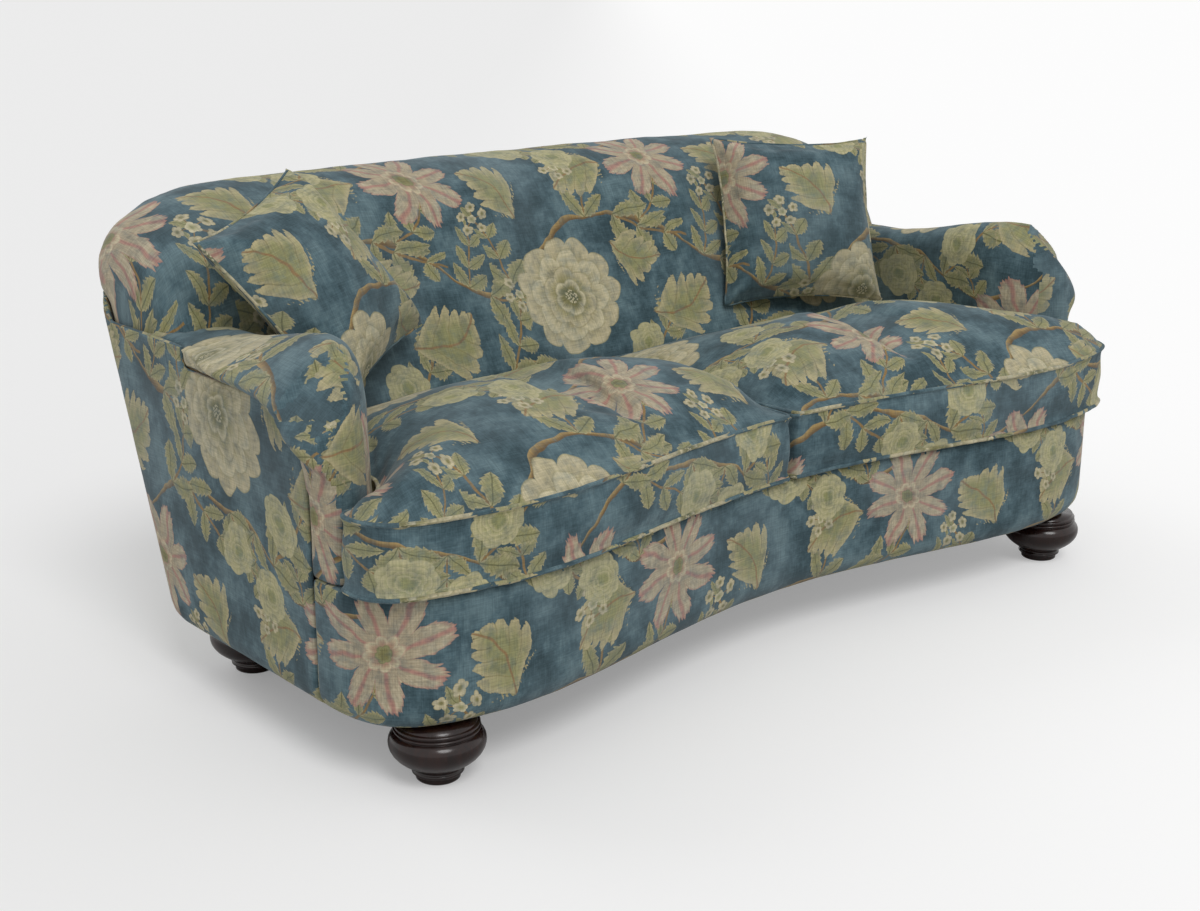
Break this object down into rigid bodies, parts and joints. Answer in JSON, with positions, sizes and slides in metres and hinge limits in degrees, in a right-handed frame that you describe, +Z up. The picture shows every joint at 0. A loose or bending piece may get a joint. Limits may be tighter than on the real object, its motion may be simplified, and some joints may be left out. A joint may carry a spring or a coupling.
{
  "type": "cabriole sofa",
  "caption": "Upholstered sofa with a serpentine front, rolled arms, raked tight back with rounded shoulders, T-shaped seat cushions, throw pillows and turned bun feet",
  "frame": {"origin": "bottom centre of the bounding box, on the floor under the middle of the sofa", "axes": "+Z up, +Y to the back, +X to the right seen from in front of the sofa"},
  "size_m": [2.1, 1.1132, 0.9554],
  "materials": {
    "printed_linen": "faded blue linen weave with a printed pattern of cream, sage and dusty pink flowers, matte",
    "foot_wood": "turned hardwood stained dark espresso, polished",
    "frame_wood": "sawn hardwood, unfinished",
    "spring_steel": "drawn steel wire and zinc-plated bolts",
    "foam": "cushion foam, cream, matte",
    "black_cambric": "thin black non-woven cloth, matte",
    "jute_webbing": "woven jute webbing, matte",
    "deck_cloth": "plain grey-blue cotton over padding, matte",
    "ticking": "off-white cotton ticking, matte"
  },
  "bodies": {
    "sofa_frame": {"front_rail": "frame_wood", "back_rail": "frame_wood", "side_rail_right": "frame_wood", "side_rail_left": "frame_wood", "seat_stretcher_right": "frame_wood", "seat_stretcher_left": "frame_wood", "corner_block_front_right": "frame_wood", "corner_block_front_left": "frame_wood", "corner_block_rear_right": "frame_wood", "corner_block_rear_left": "frame_wood", "foot_front_right": "foot_wood", "foot_front_left": "foot_wood", "foot_rear_right": "foot_wood", "foot_rear_left": "foot_wood", "hanger_bolt_front_right": "spring_steel", "hanger_bolt_front_left": "spring_steel", "hanger_bolt_rear_right": "spring_steel", "hanger_bolt_rear_left": "spring_steel", "dust_cover": "black_cambric", "seat_spring_1_right": "spring_steel", "seat_spring_1_left": "spring_steel", "seat_spring_2_right": "spring_steel", "seat_spring_2_left": "spring_steel", "seat_spring_3_right": "spring_steel", "seat_spring_3_left": "spring_steel", "seat_spring_4_right": "spring_steel", "seat_spring_4_left": "spring_steel", "seat_deck": "deck_cloth", "front_border": "printed_linen", "back_tack_rail": "frame_wood", "back_crest_rail": "frame_wood", "back_post_right": "frame_wood", "back_post_left": "frame_wood", "back_upright_right": "frame_wood", "back_upright_left": "frame_wood", "back_web_1_right": "jute_webbing", "back_web_1_left": "jute_webbing", "back_web_2_right": "jute_webbing", "back_web_2_left": "jute_webbing", "inside_back": "printed_linen", "outside_back": "printed_linen", "arm_front_post_right": "frame_wood", "arm_front_post_left": "frame_wood", "arm_top_rail_right": "frame_wood", "arm_top_rail_left": "frame_wood", "arm_tack_rail_right": "frame_wood", "arm_tack_rail_left": "frame_wood", "arm_pad_right": "printed_linen", "arm_pad_left": "printed_linen", "outside_arm_right": "printed_linen", "outside_arm_left": "printed_linen"},
    "seat_cushion_right": {"seat_cushion_cover_right": "printed_linen", "seat_cushion_core_right": "foam"},
    "throw_pillow_right": {"pillow_cover_right": "printed_linen", "pillow_insert_right": "ticking"},
    "seat_cushion_left": {"seat_cushion_cover_left": "printed_linen", "seat_cushion_core_left": "foam"},
    "throw_pillow_left": {"pillow_cover_left": "printed_linen", "pillow_insert_left": "ticking"}
  },
  "joints": [
    {"name": "seat_cushion_right_lift", "type": "slide", "parent": "sofa_frame", "child": "seat_cushion_right", "axis": [0, -0.42, 0.9075], "range_m": [0, 0.25]},
    {"name": "throw_pillow_right_lift", "type": "slide", "parent": "seat_cushion_right", "child": "throw_pillow_right", "axis": [0, -0.42, 0.9075], "range_m": [0, 0.3]},
    {"name": "seat_cushion_left_lift", "type": "slide", "parent": "sofa_frame", "child": "seat_cushion_left", "axis": [0, -0.42, 0.9075], "range_m": [0, 0.25]},
    {"name": "throw_pillow_left_lift", "type": "slide", "parent": "seat_cushion_left", "child": "throw_pillow_left", "axis": [0, -0.42, 0.9075], "range_m": [0, 0.3]}
  ]
}
